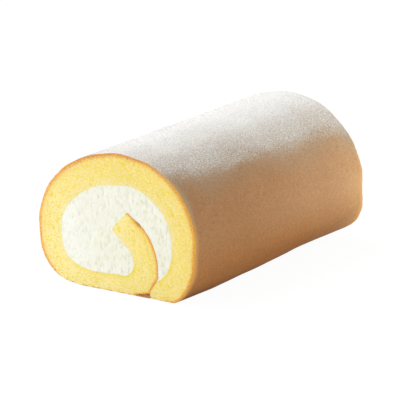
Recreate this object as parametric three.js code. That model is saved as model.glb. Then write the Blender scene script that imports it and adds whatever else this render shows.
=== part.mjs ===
// A swiss roll cake: one sheet of sponge rolled once round whipped cream, lying on its seam.
// The roll runs along Y, +Z is up, and the origin is on the table under the middle of the roll.
// Its section lies in the XZ plane. Seen from -Y, the sheet starts at the seam under the right side,
// goes up the right, over the crown, down the left, along the table, and turns up inside as a tongue.
import * as THREE from "three";

// Driving dimensions, in millimetres and degrees.
const WIDTH = 101;
const HEIGHT = 75; // at the end at -Y; the far end stands a little higher
const LENGTH = 161;
const BELLY = 31.5; // height of the widest level, low because the roll has settled
const SHEET = 15.1; // thickness of the sponge where nothing presses on it
const CROWN_SHEET = 16.4; // the sheet is a little fuller over the crown
const PRESSED_SHEET = 9.2; // and pressed thin where the roll rests on it
const SEAM = 0.4; // slot where the sheet's outer end lies against the tongue
const CREAM_GAP = 0.3; // clearance between the cream and the sponge
const POINT_SPACING = 2.8; // between points along an outline
const SLICES = 10; // lengths that the roll is divided into, so that it can be uneven

// The tongue: the sheet's inner end, which turns up off the table and leans back to the left.
const BEND_X = 11; // where the sheet leaves the table
const BEND_RADIUS = 15.5; // of the skin, where it turns up
const LEAN_RADIUS = 28; // of the skin, where it leans back
const LEAN_ANGLE = 58; // up to the crease across the tongue
const TONGUE_SHEET = 15; // the tongue's thickness above the bend
const TONGUE_TOP = new THREE.Vector2(6.6, 44.3); // the skin's edge at the tip
const TONGUE_CORNER = new THREE.Vector2(-3.1, 33.6); // the cream side's edge at the tip
const TIP_ROUNDING = 1.4;
const CREASE_DIP = 0.5; // how hollow the skin is between the crease and the tip
const CREASE_PLACE = 0.55; // where it is hollow, as a share of the way from the tip

// The seam, where the sheet's outer end lies against the tongue.
const FLAP_X = 21.2; // the outer end's lower edge
const FLAP_TOP = 9.9; // height of its upper edge
const WEDGE_BOTTOM = 10.6; // the cream thins out just above it
const HEEL_FLAT = 2.6; // how far short of its low right corner the roll stops lying flat
const HEEL_TOP = 1.8; // height of the rounding there

// How uneven the roll is: nothing at the cut end at -Y, and more and more towards +Y.
const FAR_RISE = 1.1; // how much higher the far end stands
const FAR_HEEL = { x: 35.5, z: -1, spread: 8, lift: 3.3, tuck: 1 }; // its low right edge, off the table
const FAR_SWELL = { z: 16, spread: 7.4, out: 1.4 }; // its low right side bulges
const FAR_SHOULDER = { z: 27, rise: 33, tuck: 1.3 }; // its right side leans in above this height
const FAR_START = 0.05; // the far end's shape comes in between these shares of the length
const FAR_END = 0.9;
const SIDE_DIP = 0.6; // shallow waists round the sides
const TONGUE_DRIFT = 1.6; // sideways wander of the tongue inside

// The browned outside of the sheet, as an oval that the table cuts off flat. Its crown leans to the
// right, and its lower corners are as square as their powers say.
const SKIN = {
  half: WIDTH / 2,
  belly: BELLY,
  rise: HEIGHT - BELLY,
  base: 0,
  lean: 3.4,
  leftPower: 2.8,
  rightPower: 2.35,
  leftSink: 2.6,
  rightSink: 11,
};

// The cream side of the sheet, for the part that goes round the outside.
const LINING_BELLY = 31;
const LINING = {
  half: WIDTH / 2 - SHEET,
  belly: LINING_BELLY,
  rise: HEIGHT - CROWN_SHEET - LINING_BELLY,
  base: PRESSED_SHEET,
  lean: 5.1,
  leftPower: 3.1,
  rightPower: 3.1,
  leftSink: 0.8,
  rightSink: 3.2,
};

const radians = THREE.MathUtils.degToRad;
const degrees = THREE.MathUtils.radToDeg;
const smooth = THREE.MathUtils.smoothstep;

// An oval with clearance taken off.
function shrunk(oval, gap) {
  return { ...oval, half: oval.half - gap, rise: oval.rise - gap, base: oval.base + gap };
}

// How far down an oval goes on one side, before the base cuts it off, and how square it is there.
function lowerHalf(oval, side) {
  const depth = oval.belly - oval.base;
  if (side > 0) return { depth: depth + oval.rightSink, power: oval.rightPower };
  return { depth: depth + oval.leftSink, power: oval.leftPower };
}

// The angle, below the widest level, at which an oval reaches height z on one side.
function lowAngle(oval, side, z) {
  const { depth, power } = lowerHalf(oval, side);
  const share = Math.pow((oval.belly - z) / depth, power / 2);
  return side > 0 ? -Math.asin(share) : Math.PI + Math.asin(share);
}

// The part of an oval from one angle to another, anticlockwise from the right: an ellipse above its
// widest level, and below it a squarer superellipse.
class OvalCurve extends THREE.Curve {
  constructor(oval, from, to) {
    super();
    this.oval = oval;
    this.from = from;
    this.to = to;
  }

  getPoint(t, target = new THREE.Vector2()) {
    const { half, belly, rise, lean } = this.oval;
    const angle = THREE.MathUtils.lerp(this.from, this.to, t);
    const c = Math.cos(angle);
    const s = Math.sin(angle);
    if (s >= 0) return target.set(half * c + lean * s * s, belly + rise * s);
    const side = Math.sign(c);
    const { depth, power } = lowerHalf(this.oval, side);
    const across = side * half * Math.pow(Math.abs(c), 2 / power);
    return target.set(across, belly - depth * Math.pow(-s, 2 / power));
  }
}

// A circular arc round (x, z), in degrees, anticlockwise when `to` is above `from`.
function arc(x, z, radius, from, to) {
  return new THREE.EllipseCurve(x, z, radius, radius, radians(from), radians(to), to < from);
}

// A straight line, or one that bulges towards a middle point.
function line(from, to, through) {
  if (!through) return new THREE.LineCurve(from, to);
  return new THREE.QuadraticBezierCurve(from, through, to);
}

// The same curve, run the other way.
function reversed(curve) {
  const back = new THREE.Curve();
  back.getPoint = (t) => curve.getPoint(1 - t);
  return back;
}

// Points along a run of curves, each sampled by its own length, so that corners stay sharp.
function outline(curves) {
  return curves.flatMap((curve) => {
    const count = Math.max(1, Math.round(curve.getLength() / POINT_SPACING));
    return curve.getSpacedPoints(count).slice(0, -1);
  });
}

const endOf = (curve) => curve.getPoint(1);
const startOf = (curve) => curve.getPoint(0);
const point = (x, z) => new THREE.Vector2(x, z);

// The angle round the bend's centre at which a circle of this radius is at height z.
const bendAngle = (radius, z) => degrees(Math.asin((z - BEND_RADIUS) / radius));

// The tongue's outline from the table, up its skin, round the tip and down its cream side.
// A positive gap moves it outwards all round, for the hollow in the cream.
function tongueCurves(gap) {
  const leanX = BEND_X + BEND_RADIUS - LEAN_RADIUS;
  const bend = arc(BEND_X, BEND_RADIUS, BEND_RADIUS + gap, -90, 0);
  const lean = arc(leanX, BEND_RADIUS, LEAN_RADIUS + gap, 0, LEAN_ANGLE);
  const innerRadius = LEAN_RADIUS - TONGUE_SHEET;
  const innerLean = arc(leanX, BEND_RADIUS, innerRadius - gap, LEAN_ANGLE, 0);
  const turnRadius = BEND_RADIUS - PRESSED_SHEET;
  const turnX = leanX + innerRadius - turnRadius;
  const innerBend = arc(turnX, BEND_RADIUS, turnRadius - gap, 0, -90);

  const along = TONGUE_CORNER.clone().sub(TONGUE_TOP).normalize();
  const out = point(along.y, -along.x);
  const top = TONGUE_TOP.clone().addScaledVector(out, gap).addScaledVector(along, -gap);
  const corner = TONGUE_CORNER.clone().addScaledVector(out, gap).addScaledVector(along, gap);
  const topEnd = top.clone().addScaledVector(along, TIP_ROUNDING);
  const cornerEnd = corner.clone().addScaledVector(along, -TIP_ROUNDING);
  const crease = endOf(lean);
  const back = startOf(innerLean);
  const skinEdge = top.clone().lerp(crease, TIP_ROUNDING / top.distanceTo(crease));
  const hollow = skinEdge.clone().lerp(crease, CREASE_PLACE).addScaledVector(out, -CREASE_DIP);
  const liningEdge = corner.clone().lerp(back, TIP_ROUNDING / corner.distanceTo(back));
  return [
    bend,
    lean,
    line(crease, skinEdge, hollow),
    line(skinEdge, topEnd, top),
    line(topEnd, cornerEnd),
    line(cornerEnd, liningEdge, corner),
    line(liningEdge, back),
    innerLean,
    innerBend,
  ];
}

// The sponge: along the table, round the skin, up the tongue and back along the cream side.
function spongeOutline() {
  const skin = new OvalCurve(SKIN, lowAngle(SKIN, 1, HEEL_TOP), lowAngle(SKIN, -1, SKIN.base));
  const heel = new OvalCurve(SKIN, lowAngle(SKIN, 1, SKIN.base), 0).getPoint(0);
  const heelStart = point(heel.x - HEEL_FLAT, 0);
  const tongue = tongueCurves(0);
  const liningLeft = lowAngle(LINING, -1, LINING.base);
  const lining = new OvalCurve(LINING, liningLeft, lowAngle(LINING, 1, FLAP_TOP));
  const flapRadius = BEND_RADIUS + SEAM;
  const flapFoot = BEND_RADIUS - Math.sqrt(flapRadius ** 2 - (FLAP_X - BEND_X) ** 2);
  const flapTopAngle = bendAngle(flapRadius, FLAP_TOP);
  const flapEnd = arc(BEND_X, BEND_RADIUS, flapRadius, flapTopAngle, bendAngle(flapRadius, flapFoot));
  return outline([
    line(point(FLAP_X, 0), heelStart),
    line(heelStart, startOf(skin), heel),
    skin,
    line(endOf(skin), point(BEND_X, 0)),
    ...tongue,
    line(endOf(tongue.at(-1)), startOf(lining)),
    lining,
    line(endOf(lining), startOf(flapEnd)),
    flapEnd,
    line(endOf(flapEnd), point(FLAP_X, 0)),
  ]);
}

// The cream: everything inside the lining, less the tongue.
function creamOutline() {
  const oval = shrunk(LINING, CREAM_GAP);
  const lining = new OvalCurve(oval, lowAngle(oval, 1, WEDGE_BOTTOM), lowAngle(oval, -1, oval.base));
  const [, ...tongue] = tongueCurves(CREAM_GAP);
  const wedgeRadius = BEND_RADIUS + CREAM_GAP;
  const wedge = arc(BEND_X, BEND_RADIUS, wedgeRadius, bendAngle(wedgeRadius, WEDGE_BOTTOM), 0);
  return outline([
    line(startOf(wedge), startOf(lining)),
    lining,
    line(endOf(lining), endOf(tongue.at(-1))),
    ...tongue.reverse().map(reversed),
    reversed(wedge),
  ]);
}

// Moves a point of the straight roll to its place in the uneven one. Every piece goes through it,
// so pieces that touch stay together.
function uneven(p) {
  const along = (p.y + LENGTH / 2) / LENGTH;
  const up = smooth(p.z, 0, HEIGHT);
  const far = smooth(along, FAR_START, FAR_END);
  const right = smooth(p.x, 10, 40);
  const swell = FAR_SWELL.out * Math.exp(-(((p.z - FAR_SWELL.z) / FAR_SWELL.spread) ** 2));
  const tuck = FAR_SHOULDER.tuck * (Math.max(0, p.z - FAR_SHOULDER.z) / FAR_SHOULDER.rise) ** 2;
  const fromHeel = (p.x - FAR_HEEL.x) ** 2 + (p.z - FAR_HEEL.z) ** 2;
  const heel = far * Math.exp(-fromHeel / FAR_HEEL.spread ** 2);
  const inside = Math.max(0, 1 - (p.x / LINING.half) ** 2 - ((p.z - BELLY) / LINING.rise) ** 2);
  p.x += far * right * (swell - tuck) - FAR_HEEL.tuck * heel;
  p.x *= 1 - (SIDE_DIP / SKIN.half) * up * Math.sin(2 * Math.PI * along) ** 2;
  p.x += TONGUE_DRIFT * inside * Math.sin(Math.PI * along);
  p.z += FAR_HEEL.lift * heel;
  p.z *= 1 + (FAR_RISE / HEIGHT) * along;
  return p;
}

// A closed solid: the outline run along the roll, with its ends cut square.
function rolledSolid(points) {
  const shape = new THREE.Shape(points);
  const geometry = new THREE.ExtrudeGeometry(shape, {
    depth: LENGTH,
    steps: SLICES,
    bevelEnabled: false,
  });
  geometry.rotateX(Math.PI / 2);
  geometry.translate(0, LENGTH / 2, 0);
  const position = geometry.getAttribute("position");
  const p = new THREE.Vector3();
  for (let i = 0; i < position.count; i++) {
    uneven(p.fromBufferAttribute(position, i));
    position.setXYZ(i, p.x, p.y, p.z);
  }
  geometry.computeVertexNormals();
  return geometry;
}

const spongeMaterial = new THREE.MeshStandardMaterial({
  name: "sponge",
  color: 0xf6dc78,
  roughness: 0.85,
  metalness: 0,
});
const creamMaterial = new THREE.MeshStandardMaterial({
  name: "cream",
  color: 0xf6f4e6,
  roughness: 0.55,
  metalness: 0,
});

const sponge = new THREE.Mesh(rolledSolid(spongeOutline()), spongeMaterial);
sponge.name = "sponge";
const cream = new THREE.Mesh(rolledSolid(creamOutline()), creamMaterial);
cream.name = "cream";

const roll = new THREE.Group();
roll.name = "swiss_roll";
roll.add(sponge, cream);

export default roll;
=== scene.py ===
"""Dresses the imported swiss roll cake: rolled sponge, whipped cream, icing sugar and a plain stage."""

import math
from collections import namedtuple
from contextlib import contextmanager
from functools import cache
from types import SimpleNamespace

import bpy
import numpy as np
from mathutils import Color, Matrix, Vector


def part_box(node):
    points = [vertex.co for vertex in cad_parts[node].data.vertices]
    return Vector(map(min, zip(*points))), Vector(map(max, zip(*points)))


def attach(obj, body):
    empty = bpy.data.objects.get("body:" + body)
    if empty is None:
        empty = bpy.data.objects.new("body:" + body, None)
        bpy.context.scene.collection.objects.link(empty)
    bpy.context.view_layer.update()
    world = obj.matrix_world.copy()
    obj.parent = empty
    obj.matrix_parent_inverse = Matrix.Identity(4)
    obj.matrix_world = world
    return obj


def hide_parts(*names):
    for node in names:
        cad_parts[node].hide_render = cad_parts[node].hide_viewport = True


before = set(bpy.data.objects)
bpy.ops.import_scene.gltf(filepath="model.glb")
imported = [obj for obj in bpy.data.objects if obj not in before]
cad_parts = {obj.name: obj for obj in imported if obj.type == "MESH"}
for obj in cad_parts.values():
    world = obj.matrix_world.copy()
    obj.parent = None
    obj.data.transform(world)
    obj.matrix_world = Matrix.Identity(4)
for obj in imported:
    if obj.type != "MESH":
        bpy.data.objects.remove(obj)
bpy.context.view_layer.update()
SPONGE_LOW, SPONGE_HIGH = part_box("sponge")

bl_info = {
    "name": "Swiss roll cake",
    "version": (1, 0, 0),
    "blender": (4, 5, 0),
    "location": "View3D > Sidebar > Swiss roll",
    "description": "Builds the sponge, cream and icing sugar of a swiss roll cake, and its stage",
    "category": "Object",
}

MM = 0.001
DEGREE = math.pi / 180


# ---------------------------------------------------------------- sizes and colours


def metres(name, description, default):
    """A length that the user can change."""
    return bpy.props.FloatProperty(
        name=name, description=description, default=default, precision=5, unit="LENGTH", subtype="DISTANCE"
    )


def angle(name, description, default):
    """An angle that the user can change."""
    return bpy.props.FloatProperty(name=name, description=description, default=default, subtype="ANGLE")


def colour(name, description, default):
    """A colour as it looks on a screen."""
    return bpy.props.FloatVectorProperty(
        name=name, description=description, default=default, size=3, min=0, max=1, subtype="COLOR_GAMMA"
    )


class RollSizes(bpy.types.PropertyGroup):
    """Sizes of the rolled sheet. Its section lies in XZ, seen from -Y."""

    width: metres("Width", "Across the roll", 101 * MM)
    length: metres("Length", "Along the roll", SPONGE_HIGH.y - SPONGE_LOW.y)
    height: metres("Height", "At the end at -Y", SPONGE_HIGH.z - 1.1 * MM)
    far_rise: metres("Far rise", "How much higher the end at +Y stands", 1.1 * MM)
    belly: metres("Belly", "Height of the widest level", 31.5 * MM)
    crown_lean: metres("Crown lean", "How far right of the middle the crown is", 3.4 * MM)
    sheet: metres("Sheet", "Thickness of the sponge where nothing presses on it", 15.3 * MM)
    crown_sheet: metres("Crown sheet", "Thickness of the sponge over the crown", 16.8 * MM)
    pressed_sheet: metres("Pressed sheet", "Thickness of the sponge under the roll", 9.2 * MM)
    bend_x: metres("Bend", "Where the sheet leaves the table", 11 * MM)
    bend_radius: metres("Bend radius", "Radius of the skin where the tongue turns up", 15.8 * MM)
    lean_radius: metres("Lean radius", "Radius of the skin where the tongue leans back", 28 * MM)
    tongue_sheet: metres("Tongue sheet", "Thickness of the tongue above its bend", 15.8 * MM)
    tip_rounding: metres("Tip rounding", "Radius of the tongue's corners", 1.2 * MM)
    flap_x: metres("Flap", "Lower edge of the sheet's outer end", 21.3 * MM)
    flap_top: metres("Flap top", "Height of its upper edge", 9.9 * MM)
    heel_lift: metres("Heel lift", "How far the low right edge rises at the end at +Y", 3.3 * MM)
    heel_swell: metres("Heel swell", "How far the low right side bulges at the end at +Y", 1.4 * MM)
    shoulder_tuck: metres("Shoulder tuck", "How far the right shoulder leans in at the end at +Y", 1.3 * MM)
    end_reach: metres("End reach", "How much of the outer end bends to follow the tongue", 9 * MM)
    rim: metres("Rim", "Thickness of the browned skin", 1 * MM)
    golden_rim: metres("Golden rim", "Thickness of the browned skin on the right", 1.2 * MM)
    crown_rim: metres("Crown rim", "Thickness of the browned skin over the crown", 1.3 * MM)
    worn_rim: metres("Worn rim", "How much of it is worn off at the low right", 0.35 * MM)
    inner_rim: metres("Inner rim", "Thickness of the browned skin on the tongue", 0.9 * MM)
    cell: metres("Cell", "Mesh size on the sponge's cut ends", 0.45 * MM)
    cream_cell: metres("Cream cell", "Mesh size on the cream's cut ends", 0.4 * MM)
    slice: metres("Slice", "Mesh size along the roll", 2.7 * MM)


class RollRelief(bpy.types.PropertyGroup):
    """How rough the food is, and where the icing sugar lies."""

    pore_spacing: metres("Pore spacing", "Between the larger bubbles of the crumb", 2.3 * MM)
    pore_depth: metres("Pore depth", "Depth of the larger bubbles", 0.24 * MM)
    fine_spacing: metres("Fine spacing", "Between the small bubbles of the crumb", 1.05 * MM)
    fine_depth: metres("Fine depth", "Depth of the small bubbles", 0.15 * MM)
    ragged_rim: metres("Ragged rim", "How uneven the rim of a cut end is", 0.2 * MM)
    skin_wave: metres("Skin wave", "Height of the broad waves in the skin", 0.3 * MM)
    cream_lump: metres("Cream lumps", "Height of the lumps in the cut cream", 0.3 * MM)
    seam_crumple: metres("Seam crumple", "Height of the folds of the skin caught in the seam", 0.45 * MM)
    grain: metres("Grain", "Size of a grain of icing sugar", 0.38 * MM)
    clump: metres("Clump", "Size of a clump of icing sugar", 0.7 * MM)
    thickest: angle("Thickest sugar", "Where round the roll it lies thickest, from the right", 97 * DEGREE)
    thick_spread: angle("Sugar spread", "How far to each side it stays that thick", 7 * DEGREE)
    sugar_border: angle("Sugar border", "Steepest slope that the icing sugar stays on", 48 * DEGREE)


class RollColours(bpy.types.PropertyGroup):
    """Colours of the food and the stage, some of them with painted light and shade."""

    crumb_pale: colour("Pale crumb", "Sponge crumb at the low left", (0.975, 0.917, 0.645))
    crumb: colour("Crumb", "Sponge crumb at the crown and the right", (0.943, 0.858, 0.51))
    crumb_deep: colour("Deep crumb", "Sponge crumb in its bubbles", (0.94, 0.855, 0.25))
    crumb_light: colour("Light crumb", "Thin walls between the bubbles", (0.968, 0.9, 0.74))
    crumb_warm: colour("Warm crumb", "Sponge crumb just under the skin", (0.94, 0.76, 0.43))
    rim: colour("Rim", "Cut edge of the browned skin", (0.96, 0.735, 0.41))
    rim_dark: colour("Dark rim", "Cut edge of the skin at the crown and in its spots", (0.83, 0.60, 0.33))
    rim_gold: colour("Golden rim", "Cut edge of the skin on the right", (0.89, 0.655, 0.22))
    rim_inner: colour("Inner rim", "Cut edge of the skin on the tongue", (0.92, 0.66, 0.265))
    rim_knee: colour("Knee rim", "Cut edge of the skin where the tongue folds", (0.68, 0.44, 0.18))
    # Painted light: these three skin colours grade the skin from lighter at the end at +Y to darker at the
    # end at -Y, as if lit from that side, and the end colour is a painted rim light low at +Y.
    skin_far_lit: colour("Light skin", "Lightly baked skin, towards the end at +Y", (0.762, 0.587, 0.412))
    skin_dark: colour("Dark skin", "Best-baked skin", (0.665, 0.479, 0.30))
    skin_end_rim_lit: colour("End skin", "Least-baked skin, at the end at +Y", (0.83, 0.655, 0.455))
    skin_foot: colour("Foot skin", "Skin near the table", (0.675, 0.456, 0.244))
    seam: colour("Seam", "Skin caught in the seam", (0.88, 0.63, 0.42))
    # Painted shade: this fold colour darkens the caramelised skin where the folds sink.
    seam_caramel_and_shade: colour("Dark seam", "Deep folds of that skin", (0.47, 0.25, 0.14))
    cream: colour("Cream", "Whipped cream", (0.95, 0.951, 0.918))
    # Painted light: this colour whitens the cream towards the left and the bottom.
    cream_lit: colour("Light cream", "Whipped cream at the low left", (0.97, 0.974, 0.96))
    # Painted shade: this green-grey colour darkens the cream's pebbles and pits.
    cream_pit_shade: colour("Deep cream", "Whipped cream in its pits", (0.88, 0.885, 0.785))
    sugar: colour("Sugar", "Icing sugar", (0.895, 0.892, 0.885))
    # Painted shade: thin sugar is also greyed with painted shade, for the steeper sides where less light
    # falls.
    sugar_thin_and_shade: colour("Thin sugar", "Icing sugar where the skin shows through it", (0.625, 0.63, 0.555))
    floor: colour("Floor", "The table", (0.985, 0.985, 0.985))


def settings(context):
    """The user's sizes and relief, and the colours as the four numbers that a shader takes."""
    scene = context.scene
    tints = SimpleNamespace()
    for name in RollColours.__annotations__:
        screen = Color(getattr(scene.roll_colours, name))
        setattr(tints, name, (*screen.from_srgb_to_scene_linear(), 1.0))
    return scene.roll_sizes, scene.roll_relief, tints


# ---------------------------------------------------------------- curves


def ease(value, low, high):
    """0 below a range, 1 above it, and eased between."""
    share = np.clip((value - low) / (high - low), 0, 1)
    return share * share * (3 - 2 * share)


def hump(value, middle, spread):
    """1 at the middle, fading to 0 on both sides of it."""
    return np.exp(-(((value - middle) / spread) ** 2))


def arc(x, z, radius, degrees):
    """Points of an arc round (x, z) at these angles. The radius may change along it."""
    turn = np.radians(degrees)
    return np.stack([x + radius * np.cos(turn), z + radius * np.sin(turn)], axis=1)


def line(start, end, through=None, count=24):
    """Points of a straight line, or of one that bulges towards a middle point."""
    start, end = np.array(start), np.array(end)
    middle = (start + end) / 2 if through is None else np.array(through)
    t = np.linspace(0, 1, count)[:, None]
    return (1 - t) ** 2 * start + 2 * t * (1 - t) * middle + t * t * end


def lengths(points):
    """How far along a run each of its points is."""
    return np.concatenate([[0], np.cumsum(np.hypot(*np.diff(points, axis=0).T))])


def even(points, count):
    """The same run of points with `count` even steps."""
    along = lengths(points)
    at = np.linspace(0, along[-1], count + 1)
    return np.stack([np.interp(at, along, values) for values in points.T], axis=1)


def paired(stretches, cell):
    """Two facing edges of a layer, in even steps, from stretches that each pair one run with another."""
    edges = [], []
    for runs in stretches:
        count = max(2, round(max(lengths(run)[-1] for run in runs) / cell))
        for edge, run in zip(edges, runs):
            edge.append(even(run, count)[:-1])
    for edge, run in zip(edges, stretches[-1]):
        edge.append(run[-1:])
    return [np.concatenate(edge) for edge in edges]


def unit(vector):
    """The vector at length 1."""
    return vector / np.linalg.norm(vector)


# ---------------------------------------------------------------- the section

# One side of an oval: half its width, how square its foot is, how far that would reach below the base
# if it weren't cut off flat, and how much the shoulder is pinched in.
Side = namedtuple("Side", "half power sink shoulder")


class Oval(namedtuple("Oval", "belly base rise lean right left")):
    """A curve round the roll: an ellipse above its belly, and squarer below it."""

    def points(self, start, end, count=90):
        """Points from one angle to another, in degrees."""
        turn = np.radians(np.linspace(start, end, count))
        c, s = np.cos(turn), np.sin(turn)
        half, power, sink, shoulder = np.where(c[:, None] > 0, self.right, self.left).T
        depth = self.belly - self.base + sink
        pinch = 1 - shoulder * np.sin(2 * turn) ** 2
        low = s < 0
        across = np.where(low, np.sign(c) * np.abs(c) ** (2 / power), c * pinch)
        x = half * across + np.where(low, 0, self.lean * s * s)
        z = np.where(low, -depth * np.abs(s) ** (2 / power), self.rise * s * pinch) + self.belly
        return np.stack([x, z], axis=1)

    def low_angle(self, z, right=False):
        """The angle in degrees, below the belly, at which the curve reaches height z on one side."""
        side = self.right if right else self.left
        depth = self.belly - self.base + side.sink
        turn = math.degrees(math.asin(((self.belly - z) / depth) ** (side.power / 2)))
        return -turn if right else 180 + turn

    def inset(self, gap):
        """The curve a gap further in."""
        right, left = (side._replace(half=side.half - gap) for side in (self.right, self.left))
        return self._replace(base=self.base + gap, rise=self.rise - gap, right=right, left=left)


class Section:
    """The roll's section: the skin's oval, the cream side's oval and the tongue. Angles are in degrees."""

    bend_bumps = (
        # angle, spread and height of each place where the bend is pushed out or in
        (-14, 6, 0.45 * MM),
        (-32, 8, -0.5 * MM),
        (-53, 5, 1.05 * MM),
        (-63, 6, 0.35 * MM),
        (-74, 9, -0.35 * MM),
    )
    crease_angle = 58
    crease_dip = 0.8 * MM
    knee_angle = 57
    knee_spread = 4
    knee_height = 0.6 * MM
    tongue_top = (6.9 * MM, 44.5 * MM)
    tongue_corner = (-3.1 * MM, 33.6 * MM)
    tip_bulge = 0.3 * MM
    turn_radius = 7.2 * MM
    turn_z = 16.8 * MM
    wedge_bottom = 9.7 * MM
    heel_flat = 2.6 * MM
    heel_top = 1.8 * MM
    foot_lift = 0.6 * MM
    foot_angle = -52
    cap_angle = -23.5
    cap_gap = 0.03 * MM
    left_trim = 0.5 * MM
    lining_drop = 0.5 * MM
    lining_lean = 1.5
    cream_stations = (-30, 48, 78, 172, 205)
    cream_floor_share = 0.94
    seam_angle = -84
    seam_overlap = 0.3 * MM
    seam_gap = 0.02 * MM

    def __init__(self, sizes):
        self.sizes = s = sizes
        half = s.width / 2
        self.skin = Oval(
            belly=s.belly,
            base=0,
            rise=s.height - s.belly,
            lean=s.crown_lean,
            right=Side(half=half, power=2.35, sink=11 * MM, shoulder=0),
            left=Side(half=half - self.left_trim, power=2.95, sink=2.6 * MM, shoulder=-0.006),
        )
        belly = s.belly - self.lining_drop
        self.lining = Oval(
            belly=belly,
            base=s.pressed_sheet,
            rise=s.height - s.crown_sheet - belly,
            lean=self.lining_lean * s.crown_lean,
            right=Side(half=half - s.sheet, power=2.95, sink=3.2 * MM, shoulder=0.034),
            left=Side(half=half - s.sheet, power=3.1, sink=0.8 * MM, shoulder=0),
        )
        self.lean_x = s.bend_x + s.bend_radius - s.lean_radius
        self.inner_radius = s.lean_radius - s.tongue_sheet
        rise = (self.turn_z - s.bend_radius) / self.inner_radius
        self.turn_angle = math.degrees(math.asin(rise))
        self.turn_x = self.lean_x + self.inner_radius * math.sqrt(1 - rise**2) - self.turn_radius

    def bend(self, gap, start=-90, end=0):
        """The skin's curve where the tongue turns up, a gap further out."""
        s = self.sizes
        turn = np.linspace(start, end, 120)
        bumps = sum(height * hump(turn, at, spread) for at, spread, height in self.bend_bumps)
        return arc(s.bend_x, s.bend_radius, s.bend_radius + gap + bumps, turn)

    def lean(self, radius, start, end, knee=0):
        """A curve of the tongue where it leans back, pushed out at its knee."""
        turn = np.linspace(start, end, 40)
        radius = radius + knee * hump(turn, self.knee_angle, self.knee_spread)
        return arc(self.lean_x, self.sizes.bend_radius, radius, turn)

    def tongue(self, gap):
        """The tongue's runs from the bend round its tip to the floor of the cream, a gap further out."""
        s = self.sizes
        lean = self.lean(s.lean_radius + gap, 0, self.crease_angle, self.knee_height)
        inner_lean = self.lean(self.inner_radius - gap, self.crease_angle, self.turn_angle)
        top, corner = np.array(self.tongue_top), np.array(self.tongue_corner)
        down = unit(corner - top)
        out = np.array([down[1], -down[0]])
        top = top + out * gap - down * gap
        corner = corner + out * gap + down * gap
        dip = (lean[-1] + top) / 2 - out * self.crease_dip
        top_start = top - unit(top - lean[-1]) * s.tip_rounding
        top_end = top + down * s.tip_rounding
        corner_start = corner - down * s.tip_rounding
        corner_end = corner + unit(inner_lean[0] - corner) * s.tip_rounding
        bulge = (top_end + corner_start) / 2 + self.tip_bulge * unit(top - lean[-1])
        return {
            "bend": self.bend(gap),
            "lean": lean,
            "tip_skin": line(lean[-1], top_start, dip),
            "tip_top": line(top_start, top_end, top),
            "tip": line(top_end, corner_start, bulge),
            "tip_corner": line(corner_start, corner_end, corner),
            "tip_lining": line(corner_end, inner_lean[0]),
            "inner_lean": inner_lean,
            "turn": arc(self.turn_x, self.turn_z, self.turn_radius - gap, np.linspace(0, -90, 40)),
        }

    def knee_place(self):
        """The point on the skin where the tongue folds."""
        return self.lean(self.sizes.lean_radius, self.knee_angle, self.knee_angle)[0]

    def sheet(self):
        """The sponge's skin and cream side, from flap to tip, and the column where the tongue starts."""
        s, skin, lining = self.sizes, self.skin, self.lining
        t = self.tongue(0)
        corner = skin.points(skin.low_angle(0, right=True), 0)[0]
        heel = skin.points(skin.low_angle(self.heel_top, right=True), 0)
        foot = line((s.flap_x, self.foot_lift), corner - (self.heel_flat, 0), (s.flap_x + 2 * MM, 0))
        underside = np.concatenate([foot, line(foot[-1], heel[0], corner)[1:], heel[1:]])
        toe = skin.points(180, skin.low_angle(0))
        toe_lining = lining.points(180, lining.low_angle(s.pressed_sheet))
        outer = [
            (underside, lining.points(lining.low_angle(s.flap_top, right=True), 0)),
            (skin.points(0, 90), lining.points(0, 90)),
            (skin.points(90, 180), lining.points(90, 180)),
            (toe, toe_lining),
            (line(toe[-1], (s.bend_x, 0)), line(toe_lining[-1], t["turn"][-1])),
        ]
        tongue = [
            (t["bend"], t["turn"][::-1]),
            (t["lean"], t["inner_lean"][::-1]),
            (t["tip_skin"], t["tip_lining"][::-1]),
            (t["tip_top"], t["tip_corner"][::-1]),
        ]
        outside = len(paired(outer, s.cell)[0]) - 1
        return *paired(outer + tongue, s.cell), outside

    def flap_end(self, near, far):
        """The curve of the sheet's outer end, from the table up along the tongue's skin to the cream."""
        leaning = self.bend(self.cap_gap, self.foot_angle, self.cap_angle)
        foot = line(near[0], leaning[0], count=6)
        cap = line(leaning[-1], far[0], count=4)
        return np.concatenate([foot, leaning[1:], cap[1:]])

    def filling(self, gap):
        """Tongue side and outer side of the cream, from the wedge at the seam to the floor of the roll."""
        s = self.sizes
        t = self.tongue(gap)
        hollow = self.lining.inset(gap)
        wedge_rise = (self.wedge_bottom - s.bend_radius) / (s.bend_radius + gap)
        start, end = hollow.low_angle(self.wedge_bottom, right=True), hollow.low_angle(hollow.base)
        stations = (start, *self.cream_stations, end)
        outer = [hollow.points(a, b) for a, b in zip(stations, stations[1:])]
        floor_start, floor_end = outer[-1][-1], t["turn"][-1]
        outer.append(line(floor_start, floor_start + self.cream_floor_share * (floor_end - floor_start)))
        inner = [
            self.bend(gap, math.degrees(math.asin(wedge_rise)), 0),
            t["lean"],
            t["tip_skin"],
            np.concatenate([t["tip_top"], t["tip"][1:], t["tip_corner"][1:]]),
            t["tip_lining"],
            t["inner_lean"],
            t["turn"],
        ]
        return paired(list(zip(inner, outer)), s.cream_cell)

    def seam(self):
        """Lower and upper side of the skin caught in the seam, under the tongue's bend."""
        s = self.sizes
        upper = self.bend(-self.seam_overlap, self.seam_angle, self.foot_angle)
        start, end = (upper[0][0], self.seam_gap), (s.flap_x + 0.7 * MM, 0.4 * MM)
        return paired([(line(start, end, (s.flap_x - 1 * MM, self.seam_gap)), upper)], s.cell)


# ---------------------------------------------------------------- out of true

WANDER = 0.13 * MM
WANDER_TURN = 130
WANDER_FOOT = 6

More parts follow.
